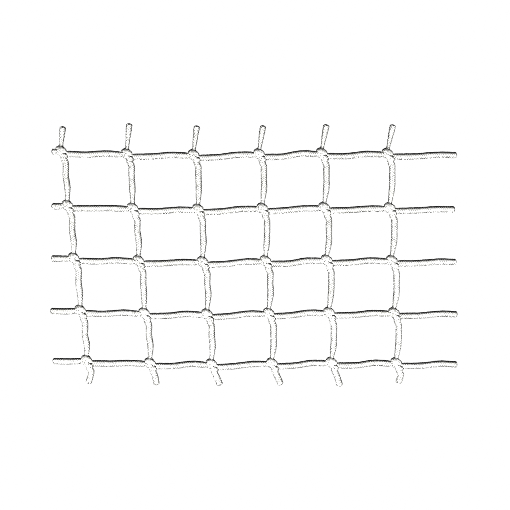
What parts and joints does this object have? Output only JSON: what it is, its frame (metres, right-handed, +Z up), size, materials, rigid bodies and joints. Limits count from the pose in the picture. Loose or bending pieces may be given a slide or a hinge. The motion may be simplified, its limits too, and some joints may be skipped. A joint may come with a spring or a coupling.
{
  "type": "tennis net",
  "caption": "Panel of white square-mesh tennis netting, knotted from braided twine with a sheet bend at every crossing, that folds along lines below its rows of knots.",
  "frame": {"origin": "the middle of the top row's middle bar, where the panel is held up", "axes": "+X across the net to the right, +Y through the net to its back, +Z up"},
  "size_m": [0.2778, 0.008, 0.1795],
  "materials": {
    "twine": "matt braided synthetic twine"
  },
  "bodies": {
    "row_1": {"top_end_1": "twine", "top_end_2": "twine", "top_end_3": "twine", "top_end_4": "twine", "top_end_5": "twine", "top_end_6": "twine", "row_1_left_end": "twine", "row_1_bar_1": "twine", "row_1_bar_2": "twine", "row_1_bar_3": "twine", "row_1_bar_4": "twine", "row_1_bar_5": "twine"},
    "row_2": {"drop_1_bar_1": "twine", "drop_1_bar_2": "twine", "drop_1_bar_3": "twine", "drop_1_bar_4": "twine", "drop_1_bar_5": "twine", "drop_1_bar_6": "twine", "row_2_left_end": "twine", "row_2_bar_1": "twine", "row_2_bar_2": "twine", "row_2_bar_3": "twine", "row_2_bar_4": "twine", "row_2_bar_5": "twine"},
    "row_3": {"drop_2_bar_1": "twine", "drop_2_bar_2": "twine", "drop_2_bar_3": "twine", "drop_2_bar_4": "twine", "drop_2_bar_5": "twine", "drop_2_bar_6": "twine", "row_3_left_end": "twine", "row_3_bar_1": "twine", "row_3_bar_2": "twine", "row_3_bar_3": "twine", "row_3_bar_4": "twine", "row_3_bar_5": "twine"},
    "row_4": {"drop_3_bar_1": "twine", "drop_3_bar_2": "twine", "drop_3_bar_3": "twine", "drop_3_bar_4": "twine", "drop_3_bar_5": "twine", "drop_3_bar_6": "twine", "row_4_left_end": "twine", "row_4_bar_1": "twine", "row_4_bar_2": "twine", "row_4_bar_3": "twine", "row_4_bar_4": "twine", "row_4_bar_5": "twine"},
    "row_5": {"drop_4_bar_1": "twine", "drop_4_bar_2": "twine", "drop_4_bar_3": "twine", "drop_4_bar_4": "twine", "drop_4_bar_5": "twine", "drop_4_bar_6": "twine", "row_5_left_end": "twine", "row_5_bar_1": "twine", "row_5_bar_2": "twine", "row_5_bar_3": "twine", "row_5_bar_4": "twine", "row_5_bar_5": "twine"}
  },
  "joints": [
    {"name": "fold_1", "type": "hinge", "parent": "row_1", "child": "row_2", "pos_m": [0, 0, -0.01], "axis": [1, 0, 0], "range_deg": [-60, 60]},
    {"name": "fold_2", "type": "hinge", "parent": "row_2", "child": "row_3", "pos_m": [0, 0, -0.0473], "axis": [1, 0, 0], "range_deg": [-60, 60]},
    {"name": "fold_3", "type": "hinge", "parent": "row_3", "child": "row_4", "pos_m": [0, 0, -0.0834], "axis": [1, 0, 0], "range_deg": [-60, 60]},
    {"name": "fold_4", "type": "hinge", "parent": "row_4", "child": "row_5", "pos_m": [0, 0, -0.1194], "axis": [1, 0, 0], "range_deg": [-60, 60]}
  ]
}
